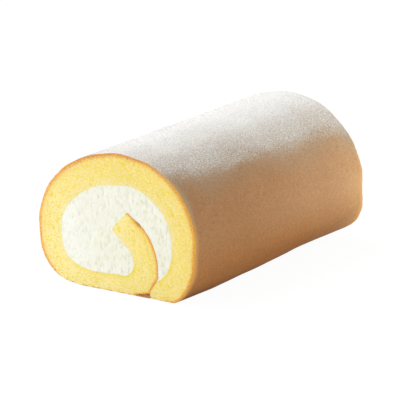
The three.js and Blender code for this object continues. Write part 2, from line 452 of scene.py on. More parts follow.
FOOT_LINE = (
    # share of the way along the roll, and how many millimetres its lower right edge stands out
    (0, 0),
    (0.06, 0.15),
    (0.12, 0.35),
    (0.19, 0.9),
    (0.25, 0.78),
    (0.3, 0.8),
    (0.36, 0.65),
    (0.43, 0.9),
    (0.47, 0.85),
    (0.52, 0.45),
    (0.58, 0.25),
    (0.64, -0.1),
    (0.69, -0.9),
    (0.76, -1.05),
    (0.83, -0.95),
    (0.91, -0.8),
    (0.96, -1.1),
    (1, -1.4),
)
HEEL_NUDGE = 1 * MM
NEAR_FLARE = 0.6 * MM
FAR_CORNER = 1.25 * MM
TOE_LIFT = 0.8 * MM
WAIST = 0.6 * MM
TONGUE_DRIFT = 1.6 * MM

# Places across the roll and levels above the table: from and to where each is eased ...
RIGHT_SIDE = 10 * MM, 40 * MM
LOW_RIGHT = 20 * MM, 36 * MM
# ... or the middle and the spread of each hump ...
SWELL_Z = 16 * MM, 7.4 * MM
HEEL_X, HEEL_Z = (35.5 * MM, 8 * MM), (-1 * MM, 8 * MM)
FOOT_X, FOOT_Z = (39 * MM, 12 * MM), (0, 12 * MM)
TOE_X, TOE_Z = (-29.5 * MM, 4.5 * MM), (0, 5 * MM)
FLARE_Z = 6 * MM, 10 * MM
CORNER_Z = 8.5 * MM, 4.5 * MM
# ... or where it starts and how far it reaches.
SHOULDER_Z, SHOULDER_REACH = 27 * MM, 33 * MM
INSIDE_X, INSIDE_Z = 35.4 * MM, 27.6 * MM
# Shares of the way along the roll.
FAR_ALONG = 0.05, 0.9
NEAR_ALONG = 0.12, 0.4
LAST_ALONG = 0.88, 1


def wander(co):
    """The section's points drawn a little out of true, so that no border in it is a perfect curve."""
    x, y, z = co.T / MM
    turn = y / WANDER_TURN
    dx = np.sin(z / 2.9 + 1.7 * np.sin(x / 6.1 + turn)) + 0.8 * np.sin(x / 4.7 + z / 3.7 - turn)
    dz = np.sin(x / 3.3 + 1.5 * np.sin(z / 5.3 - turn)) + 0.8 * np.sin(z / 5.1 - x / 4.1 + turn)
    return co + np.stack([dx, 0 * dx, dz * np.clip(z / WANDER_FOOT, 0, 1)], axis=1) * WANDER


def uneven(co, sizes):
    """The straight roll's points moved to their places: towards +Y the roll rises and leans, heel up."""
    x, y, z = wander(co).T
    along = y / sizes.length + 0.5
    far = ease(along, *FAR_ALONG)
    swell = sizes.heel_swell * hump(z, *SWELL_Z)
    tuck = sizes.shoulder_tuck * (np.maximum(0, z - SHOULDER_Z) / SHOULDER_REACH) ** 2
    heel = far * hump(x, *HEEL_X) * hump(z, *HEEL_Z)
    foot = hump(x, *FOOT_X) * hump(z, *FOOT_Z)
    inside = 1 - (x / INSIDE_X) ** 2 - ((z - sizes.belly) / INSIDE_Z) ** 2
    x = x + far * ease(x, *RIGHT_SIDE) * (swell - tuck) - HEEL_NUDGE * heel
    x = x + foot * np.interp(along, *np.array(FOOT_LINE).T) * MM
    flare = ease(x, *LOW_RIGHT) * hump(z, *FLARE_Z)
    x = x + NEAR_FLARE * flare * (1 - ease(along, *NEAR_ALONG))
    corner = ease(x, *LOW_RIGHT) * hump(z, *CORNER_Z)
    x = x + FAR_CORNER * corner * ease(along, *LAST_ALONG)
    waist = ease(z, 0, sizes.height) * np.sin(2 * np.pi * along) ** 2
    x = x * (1 - 2 * WAIST / sizes.width * waist)
    x = x + TONGUE_DRIFT * np.maximum(0, inside) * np.sin(np.pi * along)
    toe = hump(x, *TOE_X) * hump(z, *TOE_Z)
    z = (z + sizes.heel_lift * heel + TOE_LIFT * toe) * (1 + sizes.far_rise / sizes.height * along)
    return np.stack([x, y, np.maximum(z, 0)], axis=1)


# ---------------------------------------------------------------- mesh helpers


def deselect():
    """Nothing is selected and no object is in edit mode."""
    if bpy.context.object and bpy.context.object.mode != "OBJECT":
        bpy.ops.object.mode_set(mode="OBJECT")
    bpy.ops.object.select_all(action="DESELECT")


def choose(*pieces):
    """Selects these objects alone, with the last one active."""
    deselect()
    for piece in pieces:
        piece.select_set(True)
    bpy.context.view_layer.objects.active = pieces[-1]


@contextmanager
def editing():
    """Edit mode, for as long as the block lasts."""
    bpy.ops.object.mode_set(mode="EDIT")
    yield
    bpy.ops.object.mode_set(mode="OBJECT")


def added(operator, name, **options):
    """What an operator adds at the origin, or at the place given, with a name for it and for its data."""
    deselect()
    operator(**{"location": (0, 0, 0), **options})
    piece = bpy.context.object
    piece.name = name
    piece.data.name = name
    return piece


def numbers(items, label, kind=np.float32, width=1):
    """One property of each item of a mesh, as an array."""
    values = np.empty(len(items) * width, kind)
    items.foreach_get(label, values)
    return values if width == 1 else values.reshape(-1, width)


def points_of(mesh):
    """The mesh's vertices as an array."""
    return numbers(mesh.vertices, "co", width=3).astype(float)


def move_points(mesh, co):
    """Puts the mesh's vertices in these places."""
    mesh.vertices.foreach_set("co", co.astype(np.float32).ravel())
    mesh.update()


def lift_to_table(mesh):
    """Moves what reaches below the table up to it."""
    co = points_of(mesh)
    co[:, 2] = np.maximum(co[:, 2], 0)
    move_points(mesh, co)


def write_attribute(mesh, name, values):
    """Stores one number for each vertex under a name."""
    attribute = mesh.attributes.new(name, "FLOAT", "POINT")
    attribute.data.foreach_set("value", np.asarray(values, np.float32))


def read_attribute(mesh, name):
    """The number stored for each vertex under a name."""
    return numbers(mesh.attributes[name].data, "value")


def select_only(mesh, kind, chosen):
    """Selects these edges or these faces of the active object alone."""
    with editing():
        bpy.ops.mesh.select_mode(type=kind)
        bpy.ops.mesh.select_all(action="DESELECT")
    items = mesh.edges if kind == "EDGE" else mesh.polygons
    items.foreach_set("select", chosen)


def rolled_layer(name, near, far, rows, sizes, slices=1, sliced=None):
    """Adds a flat grid, thickens it into a slab and rolls that up, so that its faces become the cut ends.

    Each point keeps its column and row in the grid. Of the edges that run along the roll, those whose
    column and row `sliced` picks are cut into slices."""
    columns = len(near) - 1
    grid = bpy.ops.mesh.primitive_grid_add
    piece = added(grid, name, x_subdivisions=columns, y_subdivisions=rows, size=1)
    slab = piece.modifiers.new("slab", "SOLIDIFY")
    slab.thickness = 1
    slab.offset = 1
    bpy.ops.object.modifier_apply(modifier=slab.name)
    mesh = piece.data
    flat = points_of(mesh)
    column = np.rint((flat[:, 0] + 0.5) * columns).astype(int)
    row = flat[:, 1] + 0.5
    section = near[column] * (1 - row)[:, None] + far[column] * row[:, None]
    y = (np.rint(flat[:, 2]) - 0.5) * sizes.length
    move_points(mesh, np.stack([section[:, 0], y, section[:, 1]], axis=1))
    write_attribute(mesh, "column", column)
    write_attribute(mesh, "row", row)

    with editing():
        bpy.ops.mesh.select_all(action="SELECT")
        bpy.ops.mesh.normals_make_consistent(inside=False)

    if slices > 1:
        start, end = numbers(mesh.edges, "vertices", np.int32, 2).T
        y = points_of(mesh)[:, 1]
        lengthwise = np.abs(y[start] - y[end]) > sizes.length / 2
        picked = sliced(read_attribute(mesh, "column"), read_attribute(mesh, "row"))
        select_only(mesh, "EDGE", lengthwise & picked[start])
        with editing():
            bpy.ops.mesh.subdivide(number_cuts=slices - 1)
    return piece


def bow_column(mesh, near, far, at, curve, reach):
    """Bends one column of a layer, and by less and less those beside it, from straight to a curve."""
    column, row = read_attribute(mesh, "column"), read_attribute(mesh, "row")
    steps = 200
    straight = even(np.stack([near[at], far[at]]), steps)
    shift = even(curve, steps) - straight
    share = np.linspace(0, 1, steps + 1)
    fade = 1 - ease(np.abs(column - at % len(near)), 0, reach)
    co = points_of(mesh)
    co[:, 0] += np.interp(row, share, shift[:, 0]) * fade
    co[:, 2] += np.interp(row, share, shift[:, 1]) * fade
    move_points(mesh, co)


def apply_nodes(piece, tree):
    """Applies a geometry node tree to a piece."""
    choose(piece)
    modifier = piece.modifiers.new(tree.name, "NODES")
    modifier.node_group = tree
    bpy.ops.object.modifier_apply(modifier=modifier.name)


def finish_piece(piece, slot, *nodes, sharp=None):
    """Smooths a piece except over edges as sharp as an angle in degrees, and hands it to the frame."""
    if sharp:
        choose(piece)
        bpy.ops.object.shade_smooth_by_angle(angle=sharp * DEGREE)
    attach(piece, "root")
    if nodes:
        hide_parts(*nodes)


# ---------------------------------------------------------------- node helpers


class Field:
    """An output of a node. Sums and products of fields and numbers become Math nodes."""

    def __init__(self, wiring, socket):
        self.wiring = wiring
        self.socket = socket

    def __add__(self, other):
        return self.wiring.math("ADD", self, other)

    def __sub__(self, other):
        return self.wiring.math("SUBTRACT", self, other)

    def __rsub__(self, other):
        return self.wiring.math("SUBTRACT", other, self)

    def __mul__(self, other):
        return self.wiring.math("MULTIPLY", self, other)

    def __truediv__(self, other):
        return self.wiring.math("DIVIDE", self, other)

    __radd__ = __add__
    __rmul__ = __mul__


class Wiring:
    """Adds nodes to a tree, left to right, with their inputs set or wired by name."""

    def __init__(self, tree):
        self.tree = tree

    def add(self, kind, inputs=None, **options):
        """One new node. Inputs are given by name or number."""
        node = self.tree.nodes.new(kind)
        count = len(self.tree.nodes)
        node.location = (count * 190, -(count % 3) * 170)
        for name, value in options.items():
            setattr(node, name, value)
        for name, value in (inputs or {}).items():
            self.plug(node.inputs[name], value)
        return node

    def plug(self, socket, value):
        """Wires a socket to a field, or sets its own value."""
        if isinstance(value, Field):
            self.tree.links.new(value.socket, socket)
        else:
            socket.default_value = value

    def get(self, kind, inputs=None, output=0, **options):
        """One output of a new node."""
        return Field(self, self.add(kind, inputs, **options).outputs[output])

    def named(self, node):
        """Every output of a node, by name."""
        return {socket.name: Field(self, socket) for socket in node.outputs}

    def math(self, operation, *values, clamp=False):
        """The result of a Math node."""
        return self.get("ShaderNodeMath", dict(enumerate(values)), operation=operation, use_clamp=clamp)

    def clamp(self, value):
        """A value held between 0 and 1."""
        return self.math("ADD", value, 0.0, clamp=True)

    def vector(self, operation, *values):
        """The result of a Vector Math node."""
        return self.get("ShaderNodeVectorMath", dict(enumerate(values)), operation=operation)

    def split(self, vector):
        """A vector's X, Y and Z."""
        return self.named(self.add("ShaderNodeSeparateXYZ", {0: vector})).values()

    def stored(self, name):
        """The number stored for each vertex under a name."""
        if self.tree.type == "SHADER":
            return self.get("ShaderNodeAttribute", output="Fac", attribute_name=name)
        return self.get("GeometryNodeInputNamedAttribute", {"Name": name}, "Attribute", data_type="FLOAT")

    def ramp(self, value, low, high, start=0.0, end=1.0):
        """A value eased from one range to another, and held outside it."""
        inputs = {"Value": value, "From Min": low, "From Max": high, "To Min": start, "To Max": end}
        return self.get("ShaderNodeMapRange", inputs, "Result", interpolation_type="SMOOTHSTEP")

    def hill(self, value, middle, spread):
        """1 where a value is at the middle, eased to 0 at a distance from it."""
        return self.ramp(self.math("ABSOLUTE", value - middle), spread, 0.0)

    def noise(self, vector, size, detail=2.0, roughness=0.5):
        """Noise from 0 to 1 with features of about this size."""
        scale = self.math("DIVIDE", 1.0, size)
        inputs = {"Vector": vector, "Scale": scale, "Detail": detail, "Roughness": roughness}
        return self.get("ShaderNodeTexNoise", inputs)

    def bubbles(self, vector, size):
        """A Voronoi texture of this spacing, as its distance and its random number for each bubble."""
        scale = self.math("DIVIDE", 1.0, size)
        cells = self.named(self.add("ShaderNodeTexVoronoi", {"Vector": vector, "Scale": scale}))
        chance, _, _ = self.split(cells["Color"])
        return cells["Distance"], chance

    def curve(self, value, points):
        """A value from 0 to 1 read off a smooth curve through these points."""
        node = self.add("ShaderNodeFloatCurve", {"Value": value})
        curve = node.mapping.curves[0]
        for _ in points[2:]:
            curve.points.new(0.5, 0.5)
        for point, place in zip(curve.points, points):
            point.location = place
        node.mapping.update()
        return Field(self, node.outputs[0])

    def mix(self, factor, first, second, blend="MIX"):
        """Two colours mixed."""
        inputs = {0: factor, 6: first, 7: second}
        return self.get("ShaderNodeMix", inputs, output=2, data_type="RGBA", blend_type=blend)

    def toned(self, colour_in, red, green, blue):
        """A colour with each of its channels multiplied."""
        tone = self.get("ShaderNodeCombineColor", {0: red, 1: green, 2: blue})
        return self.mix(1.0, colour_in, tone, "MULTIPLY")

    def group(self, tree, inputs):
        """The outputs of a shader group placed with its own values."""
        return self.named(self.add("ShaderNodeGroup", inputs, node_tree=tree))


def new_group(name, kind, sockets_in, sockets_out, build):
    """A node group with named inputs and outputs. `build` is given the inputs, and returns the outputs."""
    tree = bpy.data.node_groups.new(name, kind)
    for in_out, sockets in (("INPUT", sockets_in), ("OUTPUT", sockets_out)):
        for label, value in sockets.items():
            tree.interface.new_socket(label, in_out=in_out, socket_type="NodeSocket" + value)
    w = Wiring(tree)
    made = build(w, w.named(w.add("NodeGroupInput")))
    w.add("NodeGroupOutput", made)
    return tree


def centred(value, height):
    """Noise from 0 to 1 turned into a height on both sides of zero."""
    return (value - 0.5) * (2 * height)


# ---------------------------------------------------------------- shared effects

PORE_OPENING = 0.5
FINE_OPENING = 0.58
CREAM_PIT = 1.2 * MM
ALONG_ROLL = 0.05


def across_roll(w, coords):
    """Coordinates that barely change along the roll: a pattern keeps its place, but the ends differ."""
    return w.vector("MULTIPLY", coords, (1, ALONG_ROLL, 1))


def along_sheet(w, along, depth, place):
    """Coordinates that follow the rolled sheet, so that its bubbles lie drawn out along it."""
    _, y, _ = w.split(place)
    return w.get("ShaderNodeCombineXYZ", {"X": along * 0.65, "Y": y * ALONG_ROLL, "Z": depth})


def pore_field(w, vector, spacing, opening):
    """Bubbles cut open, from 0 on the crumb between them to 1 at their middles, and some left out."""
    wobble = w.noise(vector, w.math("MULTIPLY", spacing, 0.6))
    distance, chance = w.bubbles(vector, spacing)
    distance = distance + (wobble * 0.5 - 0.25)
    radius = w.ramp(chance, 0.35, 1.0) * opening
    return w.ramp(distance / w.math("MAXIMUM", radius, 0.01), 1.0, 0.35)


def pit_field(w, vector):
    """Small pits in cream, taller than they are wide, from 0 between them to 1 at their deepest."""
    tall = w.noise(w.vector("MULTIPLY", vector, (1, 1, 0.42)), CREAM_PIT)
    return w.ramp(tall, 0.48, 0.72)


@cache
def pores_group():
    """Shader group: the crumb's bubbles as a mask and a height."""

    def build(w, given):
        mask = pore_field(w, given["Vector"], given["Spacing"], given["Opening"])
        return {"Mask": mask, "Height": 1.0 - mask}

    sockets = {"Vector": "Vector", "Spacing": "Float", "Opening": "Float"}
    return new_group("Crumb pores", "ShaderNodeTree", sockets, {"Mask": "Float", "Height": "Float"}, build)


@cache
def tone_group():
    """Shader group: a patchy mix of two tones."""

    def build(w, given):
        field = w.noise(given["Vector"], given["Size"], detail=4.0, roughness=0.6)
        mask = w.clamp((field - 0.5) * given["Contrast"] + 0.5)
        return {"Color": w.mix(mask, given["Light"], given["Dark"]), "Mask": mask}

    sockets = {"Vector": "Vector", "Size": "Float", "Contrast": "Float", "Light": "Color", "Dark": "Color"}
    return new_group("Patchy tone", "ShaderNodeTree", sockets, {"Color": "Color", "Mask": "Float"}, build)


@cache
def powder_group():
    """Shader group: how much of the surface a powder covers, grain by grain."""

    def build(w, given):
        vector, amount, grain = given["Vector"], given["Amount"], given["Grain"]
        fine = w.noise(vector, grain, roughness=0.6)
        lumps = w.noise(vector, grain * 2.6)
        field = fine * 0.65 + lumps * 0.35
        patchy = amount * amount * (1.0 - amount) * (field * 6.0 - 3.0)
        cover = w.clamp(amount + patchy)
        return {"Cover": cover, "Height": cover * fine}

    sockets = {"Vector": "Vector", "Amount": "Float", "Grain": "Float"}
    return new_group("Powder", "ShaderNodeTree", sockets, {"Cover": "Float", "Height": "Float"}, build)


@cache
def stipple_group():
    """Shader group: a colour made a little lighter and darker from grain to grain."""

    def build(w, given):
        field = w.noise(given["Vector"], given["Grain"], detail=1.0) - 0.5
        tone = field * given["Contrast"] + 1.0
        return {"Color": w.toned(given["Color"], tone, tone, field * given["Blue contrast"] + 1.0)}

    sockets = {"Vector": "Vector", "Grain": "Float", "Contrast": "Float", "Blue contrast": "Float"}
    return new_group("Stipple", "ShaderNodeTree", {**sockets, "Color": "Color"}, {"Color": "Color"}, build)


# ---------------------------------------------------------------- materials


def new_material(name, **shader):
    """A material with one Principled shader, and its wiring and object coordinates."""
    material = bpy.data.materials.new(name)
    material.use_nodes = True
    material.node_tree.nodes.clear()
    w = Wiring(material.node_tree)
    bsdf = w.add("ShaderNodeBsdfPrincipled")
    for label, value in shader.items():
        bsdf.inputs[label.replace("_", " ")].default_value = value
    w.add("ShaderNodeOutputMaterial", {"Surface": Field(w, bsdf.outputs[0])})
    coords = w.get("ShaderNodeTexCoord", output="Object")
    return material, w, bsdf.inputs, coords


def bump(w, height, distance, strength):
    """The normal of a bumpy surface."""
    return w.get("ShaderNodeBump", {"Height": height, "Distance": distance, "Strength": strength})


def pores(w, coords, spacing, opening):
    """The crumb's bubbles placed with their own values."""
    return w.group(pores_group(), {"Vector": coords, "Spacing": spacing, "Opening": opening})


def tones(w, coords, size, contrast, light, dark):
    """The patchy tones placed with their own values."""
    inputs = {"Vector": coords, "Size": size, "Contrast": contrast, "Light": light, "Dark": dark}
    return w.group(tone_group(), inputs)


def stippled(w, coords, grain, contrast, blue_contrast, colour_in):
    """A colour with the stipple placed over it."""
    inputs = {"Vector": coords, "Grain": grain, "Contrast": contrast, "Blue contrast": blue_contrast}
    return w.group(stipple_group(), {**inputs, "Color": colour_in})["Color"]


def crumb_base(w, tints, coords, sheet, tip, inside):
    """The crumb's own colour: paler at the low left and the tongue's tip, warmer under the skin."""
    x, _, z = w.split(coords)
    depth = w.stored("depth")
    under_skin = 7 * MM, 1 * MM
    drift = centred(w.noise(sheet, 18 * MM, detail=1.0), 24 * MM)
    baked = w.ramp(x * 0.6 + z + drift, -20 * MM, 80 * MM)
    base = w.mix(baked, tints.crumb_pale, tints.crumb)
    toasted = w.stored("knee_side") * w.ramp(depth, *under_skin, 0.0, 0.4)
    base = w.mix(toasted, base, tints.crumb_deep)
    base = w.mix(tip * 0.9, base, tints.crumb_pale)
    warm = w.ramp(depth, *under_skin) * w.ramp(z, 4 * MM, 16 * MM, 0.15, 0.45) * (tip * -0.8 + 1.0)
    return w.mix(warm * inside, base, tints.crumb_warm)


def crumb_spots(w, sheet, shift):
    """Small spots strewn over the crumb."""
    moved = w.vector("ADD", sheet, (shift, 0, 0))
    return w.ramp(w.noise(moved, 0.75 * MM, roughness=0.6), 0.5, 0.64)


def beside_cream(w, tints, coords, ragged, tip, crumb):
    """The crumb's colour where it touches the cream: moist and pale, but yolky at the foot of the roll."""
    x, _, z = w.split(coords)
    distance = ragged * (0.8 * MM) + w.stored("by_cream")
    low = w.ramp(x * -0.25 + z, 22 * MM, 12 * MM)
    pale = w.ramp(distance, 5 * MM, 0.0) * (low * -0.13 + 0.13) * (1.0 - tip)
    crumb = w.mix(pale, crumb, tints.cream)
    crumb = w.mix(w.ramp(distance, 4 * MM, 1 * MM) * (low * 0.42), crumb, tints.crumb_deep)
    return w.mix(w.ramp(distance, 0.7 * MM, 0.0) * 0.3, crumb, tints.cream)


def rim_colours(w, tints, sizes, coords):
    """The browned skin's cut edge, and the paler zone behind it."""
    _, _, z = w.split(coords)
    gold, inner = w.stored("gold"), w.stored("inner")
    crown = w.ramp(z, 0.66 * sizes.height, 0.97 * sizes.height)
    light = w.mix(crown, w.mix(gold, tints.rim, tints.rim_gold), tints.rim_dark)
    light = w.mix(inner, light, tints.rim_inner)
    light = w.mix(w.stored("knee"), light, tints.rim_knee)
    patchy = tones(w, coords, 1.2 * MM, 5.0, light, tints.rim_dark)
    edge = w.mix(inner * -0.3 + 0.7, light, patchy["Color"])
    return edge, w.mix(gold * -0.45 + 0.6, edge, tints.crumb_warm)


def crumb_material(tints, relief, sizes):
    """Yellow sponge crumb, paler at the low left, with the browned skin's cut edge along it."""
    material, w, shader, coords = new_material(
        "sponge_crumb",
        Roughness=0.85,
        Subsurface_Weight=0.2,
        Subsurface_Radius=(1.4 * MM, 0.9 * MM, 0.4 * MM),
        Subsurface_Scale=1.0,
        Specular_IOR_Level=0.2,
    )
    sheet = along_sheet(w, w.stored("along"), w.stored("depth"), coords)
    foot = w.stored("foot")
    inside = foot * -0.8 + 1.0
    tip = w.ramp(w.stored("from_tip"), 9 * MM, 1 * MM)
    base = crumb_base(w, tints, coords, sheet, tip, inside)

    large = pores(w, sheet, relief.pore_spacing, PORE_OPENING)
    small = pores(w, sheet, relief.fine_spacing, FINE_OPENING)
    hollow = w.math("MAXIMUM", large["Mask"] * 0.7, small["Mask"] * 0.8)
    yellow, white = crumb_spots(w, sheet, 0), crumb_spots(w, sheet, 0.3)
    crumb = w.mix(hollow, base, tints.crumb_deep)
    crumb = w.mix(yellow * 0.85, crumb, tints.crumb_deep)
    crumb = w.mix(white * 0.55, crumb, tints.crumb_light)
    ragged = w.noise(coords, 0.9 * MM, detail=3.0) - 0.5
    crumb = beside_cream(w, tints, coords, ragged, tip, crumb)

    frayed = foot * w.ramp(w.noise(coords, 2.6 * MM), 0.42, 0.58)
    rim = frayed * 0.9 + (ragged * 1.8 + w.stored("rim"))
    edge, zone = rim_colours(w, tints, sizes, coords)
    crumb = w.mix(w.ramp(rim, 2.4, 0.9) * inside, crumb, zone)
    crumb = w.mix(w.ramp(rim, 1.3, 0.5), crumb, edge)
    contrast = w.ramp(rim, 2.5, 0.8, 0.3, 0.8)
    blue_contrast = w.ramp(rim, 2.5, 0.8, 1.2, 3.0)
    w.plug(shader["Base Color"], stippled(w, coords, 0.7 * MM, contrast, blue_contrast, crumb))

    height = large["Height"] * 0.4 + small["Height"] * 0.4 - yellow * 0.3
    w.plug(shader["Normal"], bump(w, height, 0.22 * MM, 0.5))
    return material


def bare_skin(w, tints, sizes, coords, grain, freckles):
    """The browned skin's colour, in patches, with its freckles and its darker foot, painted light towards the
    end at +Y, and painted shade along the foot near the end at -Y.
    """
    length, height = sizes.length, sizes.height
    _, y, z = w.split(coords)
    # Painted light: lighter towards the end at +Y, as if lit from that side; the noise adds patches of the
    # skin's own tone.
    near = w.ramp(y, 0.56 * length, -0.31 * length)
    low = w.ramp(z, 0.46 * height, 0.16 * height)
    depth = w.clamp(near + (w.noise(coords, 20 * MM, detail=3.0) * 0.5 - 0.25))
    # Painted rim light: lightest low at the end at +Y.
    end = w.ramp(y, 0.32 * length, 0.5 * length) * w.ramp(z, 0.62 * height, 0.34 * height, 0.4, 1.2)
    skin = w.mix(depth, w.mix(end, tints.skin_far_lit, tints.skin_end_rim_lit), tints.skin_dark)
    skin = w.mix(low * w.ramp(depth, 0.0, 0.5, 0.5, 1.0), skin, tints.skin_foot)
    mottle = w.noise(coords, 2.2 * MM) * 0.3 + 0.4
    tone = freckles * -0.12 + (grain * 0.9 + mottle)
    # Painted shade: darker along the foot near the end at -Y, where the roll meets the table.
    shade = w.ramp(z, 9 * MM, 0.0) * w.ramp(y, 15 * MM, -25 * MM)
    tone = tone * (shade * -0.24 + 1.0)
    skin = w.toned(skin, tone, tone, tone)

    from_cut = 0.5 * length - w.math("ABSOLUTE", y)
    worn = w.ramp(from_cut, low * (1.2 * MM) + 4 * MM, 0.2 * MM) * (low * 0.19 + 0.35)
    skin = w.mix(worn, skin, tints.rim)
    haze = w.ramp(from_cut, 7 * MM, 2 * MM) * w.hill(w.stored("slope"), 38 * DEGREE, 0.5)
    return w.mix(haze * 0.35, skin, tints.sugar_thin_and_shade)


def skin_material(tints, sizes):
    """Browned skin, darker towards the foot and the near end, under a dusting of icing sugar; painted light
    lightens it towards the far end, painted shade darkens the near foot and greys the thin sugar.
    """
    material, w, shader, coords = new_material("baked_skin", Specular_IOR_Level=0.25)
    grain = w.noise(coords, 0.9 * MM, detail=3.0, roughness=0.75)
    freckles = pores(w, coords, 1.5 * MM, 0.45)["Mask"]
    skin = bare_skin(w, tints, sizes, coords, grain, freckles)
    amount = w.stored("sugar")
    powder = w.group(powder_group(), {"Vector": coords, "Amount": amount, "Grain": 0.6 * MM})
    # Painted shade: the sugar greys where it thins out on the steeper sides.
    sugar = w.mix(w.math("POWER", amount, 1.4), tints.sugar_thin_and_shade, tints.sugar)
    contrast = w.ramp(amount, 0.5, 1.0, 2.7, 1.0)
    sugar = stippled(w, coords, 0.6 * MM, contrast, contrast, sugar)
    w.plug(shader["Base Color"], w.mix(powder["Cover"], skin, sugar))
    w.plug(shader["Roughness"], w.ramp(powder["Cover"], 0.0, 1.0, 0.7, 0.9))
    height = grain * 0.5 + powder["Height"] * 0.8 - freckles * 0.4
    w.plug(shader["Normal"], bump(w, height, 0.14 * MM, 0.7))
    return material


def cream_material(tints):
    """Whipped cream, satin, whiter with painted light at the left and the bottom, and green-grey with painted
    shade in its pebbles and pits.
    """
    material, w, shader, coords = new_material(
        "whipped_cream",
        Roughness=0.55,
        Subsurface_Weight=0.3,
        Subsurface_Radius=(0.9 * MM, 0.8 * MM, 0.7 * MM),
        Subsurface_Scale=1.0,
        Specular_IOR_Level=0.25,
    )
    flat = across_roll(w, coords)
    x, _, z = w.split(coords)
    # Painted light: whiter towards the left and the bottom.
    left = w.ramp(z * 0.5 + x, 6 * MM, -20 * MM)
    bottom = w.ramp(z, 20 * MM, 9 * MM)
    light = w.mix(w.math("MAXIMUM", left, bottom), tints.cream, tints.cream_lit)
    # Painted shade: green-grey in the pebbles and pits, less towards the low left.
    pebble_shade = tones(w, flat, 1.1 * MM, 2.6, light, tints.cream_pit_shade)
    base = w.mix(0.4, light, pebble_shade["Color"])
    pits = pit_field(w, flat)
    rough = w.ramp(x - z, -52 * MM, -20 * MM, 0.45, 1.0)
    w.plug(shader["Base Color"], w.mix(pits * rough, base, tints.cream_pit_shade))
    height = w.noise(flat, 0.5 * MM) * 0.4 - pits * 0.8
    w.plug(shader["Normal"], bump(w, height, 0.18 * MM, 0.6))
    return material


def sugar_material(tints):
    """Icing sugar, matt and barely patchy."""
    material, w, shader, coords = new_material("icing_sugar", Roughness=0.9, Specular_IOR_Level=0.3)
    dark = (*(0.9 * channel for channel in tints.sugar[:3]), 1.0)
    w.plug(shader["Base Color"], tones(w, coords, 0.8 * MM, 2.0, tints.sugar, dark)["Color"])
    return material


def seam_material(tints):
    """Skin crumpled in the seam, caramel brown, darkened with painted shade where its folds sink."""
    material, w, shader, coords = new_material("seam_skin", Roughness=0.75, Specular_IOR_Level=0.3)
    _, _, z = w.split(coords)
    # Painted shade: the folds darken where they sink, over the skin's own caramel brown.
    folds = tones(w, coords, 0.8 * MM, 7.0, tints.seam, tints.seam_caramel_and_shade)
    w.plug(shader["Base Color"], w.mix(w.ramp(z, 0.3 * MM, 0.9 * MM), tints.seam, folds["Color"]))
    w.plug(shader["Normal"], bump(w, 1.0 - folds["Mask"], 0.3 * MM, 0.8))
    return material


def crumbs_material(tints):
    """Loose crumbs, some of yellow sponge and some of browned skin."""
    material, w, shader, coords = new_material("loose_crumbs", Roughness=0.85, Specular_IOR_Level=0.2)
    kinds = tones(w, coords, 3 * MM, 8.0, tints.rim, tints.rim_dark)
    fine = tones(w, coords, 0.4 * MM, 3.0, kinds["Color"], tints.crumb)
    w.plug(shader["Base Color"], w.mix(0.5, kinds["Color"], fine["Color"]))
    w.plug(shader["Normal"], bump(w, fine["Mask"], 0.1 * MM, 0.6))
    return material


# ---------------------------------------------------------------- relief

SUGAR_RETREAT = (
    # share of the way along the roll, and by how many degrees the sugar's border retreats towards the crown
    (0.0, 5.0),
    (0.03, 4.0),
    (0.1, 2.2),
    (0.16, -2.0),
    (0.22, 0.0),
    (0.28, 0.75),
    (0.345, 2.5),
    (0.405, 4.25),
    (0.47, 2.5),
    (0.53, -0.5),
    (0.59, -4.2),
    (0.655, -4.8),
    (0.72, -4.9),
    (0.78, -6.2),
    (0.84, -1.0),
    (0.9, -0.2),
    (0.97, -4.0),
    (1.0, -4.0),
)
RETREAT_SPAN = 20
SUGAR_STEPS = (
    # share of the sugar that thins out, from and to how many degrees steeper than its border
    (0.3, -29, -1),
    (0.45, -10, 8),
    (0.25, 0, 44),
)


def add_relief(piece, name, build):
    """Moves a piece's points along their normals by what `build` works out, and stores what it names."""

    def wire(w, given):
        geometry = given["Geometry"]
        height, named = build(w, w.get("GeometryNodeInputPosition"))
        for label, value in named.items():
            inputs = {"Geometry": geometry, "Name": label, "Value": value}
            geometry = w.get("GeometryNodeStoreNamedAttribute", inputs)
        normal = {0: w.get("GeometryNodeInputNormal"), "Scale": height}
        offset = w.get("ShaderNodeVectorMath", normal, operation="SCALE")
        return {"Geometry": w.get("GeometryNodeSetPosition", {"Geometry": geometry, "Offset": offset})}

    sockets = {"Geometry": "Geometry"}
    apply_nodes(piece, new_group(name, "GeometryNodeTree", sockets, sockets, wire))
    lift_to_table(piece.data)


def sponge_relief(relief):
    """Bubbles in the cut ends, slow waves in the skin, a ragged rim, and where the icing sugar lies."""

    def build(w, place):
        sheet = along_sheet(w, w.stored("along"), w.stored("depth"), place)
        large = pore_field(w, sheet, relief.pore_spacing, PORE_OPENING) * -relief.pore_depth
        small = pore_field(w, sheet, relief.fine_spacing, FINE_OPENING) * -relief.fine_depth
        rough = centred(w.noise(sheet, 1.3 * MM), 0.12 * MM)
        crumb = large + small + rough + centred(w.noise(sheet, 11 * MM), 0.3 * MM)
        waves = centred(w.noise(place, 26 * MM), relief.skin_wave) + centred(w.noise(place, 4 * MM), 0.1 * MM)
        ragged = centred(w.noise(place, 1.5 * MM, detail=1.0), relief.ragged_rim)
        height = crumb * w.stored("cut") + waves * w.stored("open") + ragged * w.stored("ragged")
        return height, {"sugar": sugar_amount(w, place, relief)}

    return build


